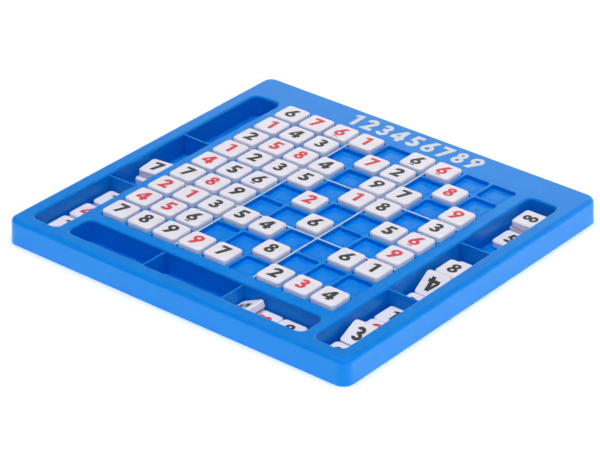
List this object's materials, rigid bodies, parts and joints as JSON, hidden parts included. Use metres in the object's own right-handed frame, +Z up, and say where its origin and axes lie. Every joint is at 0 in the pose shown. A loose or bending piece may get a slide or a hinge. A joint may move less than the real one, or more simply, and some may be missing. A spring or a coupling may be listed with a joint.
{
  "type": "sudoku board",
  "caption": "Moulded plastic number-puzzle board with a square grid of tile seats, lift-out number tiles and divided storage troughs for loose tiles.",
  "frame": {"origin": "centre of the overall box at the base, where the board rests", "axes": "+X to the right of a person reading the numbers, +Y away from that person towards the plain strip, +Z up"},
  "size_m": [0.266, 0.2518, 0.0201],
  "materials": {
    "board_plastic": "glossy moulded blue",
    "tile_plastic": "satin moulded white"
  },
  "bodies": {
    "board": {"board": "board_plastic"},
    "tile_r1_c1": {"tile_r1_c1": "tile_plastic"},
    "tile_r1_c2": {"tile_r1_c2": "tile_plastic"},
    "tile_r1_c3": {"tile_r1_c3": "tile_plastic"},
    "tile_r1_c4": {"tile_r1_c4": "tile_plastic"},
    "tile_r1_c6": {"tile_r1_c6": "tile_plastic"},
    "tile_r1_c7": {"tile_r1_c7": "tile_plastic"},
    "tile_r2_c1": {"tile_r2_c1": "tile_plastic"},
    "tile_r2_c2": {"tile_r2_c2": "tile_plastic"},
    "tile_r2_c3": {"tile_r2_c3": "tile_plastic"},
    "tile_r2_c5": {"tile_r2_c5": "tile_plastic"},
    "tile_r2_c6": {"tile_r2_c6": "tile_plastic"},
    "tile_r2_c8": {"tile_r2_c8": "tile_plastic"},
    "tile_r3_c1": {"tile_r3_c1": "tile_plastic"},
    "tile_r3_c2": {"tile_r3_c2": "tile_plastic"},
    "tile_r3_c3": {"tile_r3_c3": "tile_plastic"},
    "tile_r3_c4": {"tile_r3_c4": "tile_plastic"},
    "tile_r3_c6": {"tile_r3_c6": "tile_plastic"},
    "tile_r3_c7": {"tile_r3_c7": "tile_plastic"},
    "tile_r3_c9": {"tile_r3_c9": "tile_plastic"},
    "tile_r4_c1": {"tile_r4_c1": "tile_plastic"},
    "tile_r4_c2": {"tile_r4_c2": "tile_plastic"},
    "tile_r4_c3": {"tile_r4_c3": "tile_plastic"},
    "tile_r4_c4": {"tile_r4_c4": "tile_plastic"},
    "tile_r4_c6": {"tile_r4_c6": "tile_plastic"},
    "tile_r4_c7": {"tile_r4_c7": "tile_plastic"},
    "tile_r4_c9": {"tile_r4_c9": "tile_plastic"},
    "tile_r5_c1": {"tile_r5_c1": "tile_plastic"},
    "tile_r5_c2": {"tile_r5_c2": "tile_plastic"},
    "tile_r5_c3": {"tile_r5_c3": "tile_plastic"},
    "tile_r5_c5": {"tile_r5_c5": "tile_plastic"},
    "tile_r5_c8": {"tile_r5_c8": "tile_plastic"},
    "tile_r5_c9": {"tile_r5_c9": "tile_plastic"},
    "tile_r6_c1": {"tile_r6_c1": "tile_plastic"},
    "tile_r6_c2": {"tile_r6_c2": "tile_plastic"},
    "tile_r6_c3": {"tile_r6_c3": "tile_plastic"},
    "tile_r6_c6": {"tile_r6_c6": "tile_plastic"},
    "tile_r6_c9": {"tile_r6_c9": "tile_plastic"},
    "tile_r7_c1": {"tile_r7_c1": "tile_plastic"},
    "tile_r7_c2": {"tile_r7_c2": "tile_plastic"},
    "tile_r7_c3": {"tile_r7_c3": "tile_plastic"},
    "tile_r7_c4": {"tile_r7_c4": "tile_plastic"},
    "tile_r7_c5": {"tile_r7_c5": "tile_plastic"},
    "tile_r7_c8": {"tile_r7_c8": "tile_plastic"},
    "tile_r7_c9": {"tile_r7_c9": "tile_plastic"},
    "tile_r8_c1": {"tile_r8_c1": "tile_plastic"},
    "tile_r8_c2": {"tile_r8_c2": "tile_plastic"},
    "tile_r8_c3": {"tile_r8_c3": "tile_plastic"},
    "tile_r8_c6": {"tile_r8_c6": "tile_plastic"},
    "tile_r9_c1": {"tile_r9_c1": "tile_plastic"},
    "tile_r9_c2": {"tile_r9_c2": "tile_plastic"},
    "tile_r9_c3": {"tile_r9_c3": "tile_plastic"},
    "tile_r9_c4": {"tile_r9_c4": "tile_plastic"},
    "tile_r9_c5": {"tile_r9_c5": "tile_plastic"},
    "tile_r9_c7": {"tile_r9_c7": "tile_plastic"},
    "tile_r9_c8": {"tile_r9_c8": "tile_plastic"},
    "tile_r9_c9": {"tile_r9_c9": "tile_plastic"},
    "loose_tiles_left": {"loose_tiles_left": "tile_plastic"},
    "loose_tiles_front": {"loose_tiles_front": "tile_plastic"},
    "loose_tiles_right": {"loose_tiles_right": "tile_plastic"}
  },
  "joints": [
    {"name": "lift_r1_c1", "type": "slide", "parent": "board", "child": "tile_r1_c1", "axis": [0, 0, 1], "range_m": [0, 0.03]},
    {"name": "lift_r1_c2", "type": "slide", "parent": "board", "child": "tile_r1_c2", "axis": [0, 0, 1], "range_m": [0, 0.03]},
    {"name": "lift_r1_c3", "type": "slide", "parent": "board", "child": "tile_r1_c3", "axis": [0, 0, 1], "range_m": [0, 0.03]},
    {"name": "lift_r1_c4", "type": "slide", "parent": "board", "child": "tile_r1_c4", "axis": [0, 0, 1], "range_m": [0, 0.03]},
    {"name": "lift_r1_c6", "type": "slide", "parent": "board", "child": "tile_r1_c6", "axis": [0, 0, 1], "range_m": [0, 0.03]},
    {"name": "lift_r1_c7", "type": "slide", "parent": "board", "child": "tile_r1_c7", "axis": [0, 0, 1], "range_m": [0, 0.03]},
    {"name": "lift_r2_c1", "type": "slide", "parent": "board", "child": "tile_r2_c1", "axis": [0, 0, 1], "range_m": [0, 0.03]},
    {"name": "lift_r2_c2", "type": "slide", "parent": "board", "child": "tile_r2_c2", "axis": [0, 0, 1], "range_m": [0, 0.03]},
    {"name": "lift_r2_c3", "type": "slide", "parent": "board", "child": "tile_r2_c3", "axis": [0, 0, 1], "range_m": [0, 0.03]},
    {"name": "lift_r2_c5", "type": "slide", "parent": "board", "child": "tile_r2_c5", "axis": [0, 0, 1], "range_m": [0, 0.03]},
    {"name": "lift_r2_c6", "type": "slide", "parent": "board", "child": "tile_r2_c6", "axis": [0, 0, 1], "range_m": [0, 0.03]},
    {"name": "lift_r2_c8", "type": "slide", "parent": "board", "child": "tile_r2_c8", "axis": [0, 0, 1], "range_m": [0, 0.03]},
    {"name": "lift_r3_c1", "type": "slide", "parent": "board", "child": "tile_r3_c1", "axis": [0, 0, 1], "range_m": [0, 0.03]},
    {"name": "lift_r3_c2", "type": "slide", "parent": "board", "child": "tile_r3_c2", "axis": [0, 0, 1], "range_m": [0, 0.03]},
    {"name": "lift_r3_c3", "type": "slide", "parent": "board", "child": "tile_r3_c3", "axis": [0, 0, 1], "range_m": [0, 0.03]},
    {"name": "lift_r3_c4", "type": "slide", "parent": "board", "child": "tile_r3_c4", "axis": [0, 0, 1], "range_m": [0, 0.03]},
    {"name": "lift_r3_c6", "type": "slide", "parent": "board", "child": "tile_r3_c6", "axis": [0, 0, 1], "range_m": [0, 0.03]},
    {"name": "lift_r3_c7", "type": "slide", "parent": "board", "child": "tile_r3_c7", "axis": [0, 0, 1], "range_m": [0, 0.03]},
    {"name": "lift_r3_c9", "type": "slide", "parent": "board", "child": "tile_r3_c9", "axis": [0, 0, 1], "range_m": [0, 0.03]},
    {"name": "lift_r4_c1", "type": "slide", "parent": "board", "child": "tile_r4_c1", "axis": [0, 0, 1], "range_m": [0, 0.03]},
    {"name": "lift_r4_c2", "type": "slide", "parent": "board", "child": "tile_r4_c2", "axis": [0, 0, 1], "range_m": [0, 0.03]},
    {"name": "lift_r4_c3", "type": "slide", "parent": "board", "child": "tile_r4_c3", "axis": [0, 0, 1], "range_m": [0, 0.03]},
    {"name": "lift_r4_c4", "type": "slide", "parent": "board", "child": "tile_r4_c4", "axis": [0, 0, 1], "range_m": [0, 0.03]},
    {"name": "lift_r4_c6", "type": "slide", "parent": "board", "child": "tile_r4_c6", "axis": [0, 0, 1], "range_m": [0, 0.03]},
    {"name": "lift_r4_c7", "type": "slide", "parent": "board", "child": "tile_r4_c7", "axis": [0, 0, 1], "range_m": [0, 0.03]},
    {"name": "lift_r4_c9", "type": "slide", "parent": "board", "child": "tile_r4_c9", "axis": [0, 0, 1], "range_m": [0, 0.03]},
    {"name": "lift_r5_c1", "type": "slide", "parent": "board", "child": "tile_r5_c1", "axis": [0, 0, 1], "range_m": [0, 0.03]},
    {"name": "lift_r5_c2", "type": "slide", "parent": "board", "child": "tile_r5_c2", "axis": [0, 0, 1], "range_m": [0, 0.03]},
    {"name": "lift_r5_c3", "type": "slide", "parent": "board", "child": "tile_r5_c3", "axis": [0, 0, 1], "range_m": [0, 0.03]},
    {"name": "lift_r5_c5", "type": "slide", "parent": "board", "child": "tile_r5_c5", "axis": [0, 0, 1], "range_m": [0, 0.03]},
    {"name": "lift_r5_c8", "type": "slide", "parent": "board", "child": "tile_r5_c8", "axis": [0, 0, 1], "range_m": [0, 0.03]},
    {"name": "lift_r5_c9", "type": "slide", "parent": "board", "child": "tile_r5_c9", "axis": [0, 0, 1], "range_m": [0, 0.03]},
    {"name": "lift_r6_c1", "type": "slide", "parent": "board", "child": "tile_r6_c1", "axis": [0, 0, 1], "range_m": [0, 0.03]},
    {"name": "lift_r6_c2", "type": "slide", "parent": "board", "child": "tile_r6_c2", "axis": [0, 0, 1], "range_m": [0, 0.03]},
    {"name": "lift_r6_c3", "type": "slide", "parent": "board", "child": "tile_r6_c3", "axis": [0, 0, 1], "range_m": [0, 0.03]},
    {"name": "lift_r6_c6", "type": "slide", "parent": "board", "child": "tile_r6_c6", "axis": [0, 0, 1], "range_m": [0, 0.03]},
    {"name": "lift_r6_c9", "type": "slide", "parent": "board", "child": "tile_r6_c9", "axis": [0, 0, 1], "range_m": [0, 0.03]},
    {"name": "lift_r7_c1", "type": "slide", "parent": "board", "child": "tile_r7_c1", "axis": [0, 0, 1], "range_m": [0, 0.03]},
    {"name": "lift_r7_c2", "type": "slide", "parent": "board", "child": "tile_r7_c2", "axis": [0, 0, 1], "range_m": [0, 0.03]},
    {"name": "lift_r7_c3", "type": "slide", "parent": "board", "child": "tile_r7_c3", "axis": [0, 0, 1], "range_m": [0, 0.03]},
    {"name": "lift_r7_c4", "type": "slide", "parent": "board", "child": "tile_r7_c4", "axis": [0, 0, 1], "range_m": [0, 0.03]},
    {"name": "lift_r7_c5", "type": "slide", "parent": "board", "child": "tile_r7_c5", "axis": [0, 0, 1], "range_m": [0, 0.03]},
    {"name": "lift_r7_c8", "type": "slide", "parent": "board", "child": "tile_r7_c8", "axis": [0, 0, 1], "range_m": [0, 0.03]},
    {"name": "lift_r7_c9", "type": "slide", "parent": "board", "child": "tile_r7_c9", "axis": [0, 0, 1], "range_m": [0, 0.03]},
    {"name": "lift_r8_c1", "type": "slide", "parent": "board", "child": "tile_r8_c1", "axis": [0, 0, 1], "range_m": [0, 0.03]},
    {"name": "lift_r8_c2", "type": "slide", "parent": "board", "child": "tile_r8_c2", "axis": [0, 0, 1], "range_m": [0, 0.03]},
    {"name": "lift_r8_c3", "type": "slide", "parent": "board", "child": "tile_r8_c3", "axis": [0, 0, 1], "range_m": [0, 0.03]},
    {"name": "lift_r8_c6", "type": "slide", "parent": "board", "child": "tile_r8_c6", "axis": [0, 0, 1], "range_m": [0, 0.03]},
    {"name": "lift_r9_c1", "type": "slide", "parent": "board", "child": "tile_r9_c1", "axis": [0, 0, 1], "range_m": [0, 0.03]},
    {"name": "lift_r9_c2", "type": "slide", "parent": "board", "child": "tile_r9_c2", "axis": [0, 0, 1], "range_m": [0, 0.03]},
    {"name": "lift_r9_c3", "type": "slide", "parent": "board", "child": "tile_r9_c3", "axis": [0, 0, 1], "range_m": [0, 0.03]},
    {"name": "lift_r9_c4", "type": "slide", "parent": "board", "child": "tile_r9_c4", "axis": [0, 0, 1], "range_m": [0, 0.03]},
    {"name": "lift_r9_c5", "type": "slide", "parent": "board", "child": "tile_r9_c5", "axis": [0, 0, 1], "range_m": [0, 0.03]},
    {"name": "lift_r9_c7", "type": "slide", "parent": "board", "child": "tile_r9_c7", "axis": [0, 0, 1], "range_m": [0, 0.03]},
    {"name": "lift_r9_c8", "type": "slide", "parent": "board", "child": "tile_r9_c8", "axis": [0, 0, 1], "range_m": [0, 0.03]},
    {"name": "lift_r9_c9", "type": "slide", "parent": "board", "child": "tile_r9_c9", "axis": [0, 0, 1], "range_m": [0, 0.03]},
    {"name": "lift_loose_left", "type": "slide", "parent": "board", "child": "loose_tiles_left", "axis": [0, 0, 1], "range_m": [0, 0.03]},
    {"name": "lift_loose_front", "type": "slide", "parent": "board", "child": "loose_tiles_front", "axis": [0, 0, 1], "range_m": [0, 0.03]},
    {"name": "lift_loose_right", "type": "slide", "parent": "board", "child": "loose_tiles_right", "axis": [0, 0, 1], "range_m": [0, 0.03]}
  ]
}
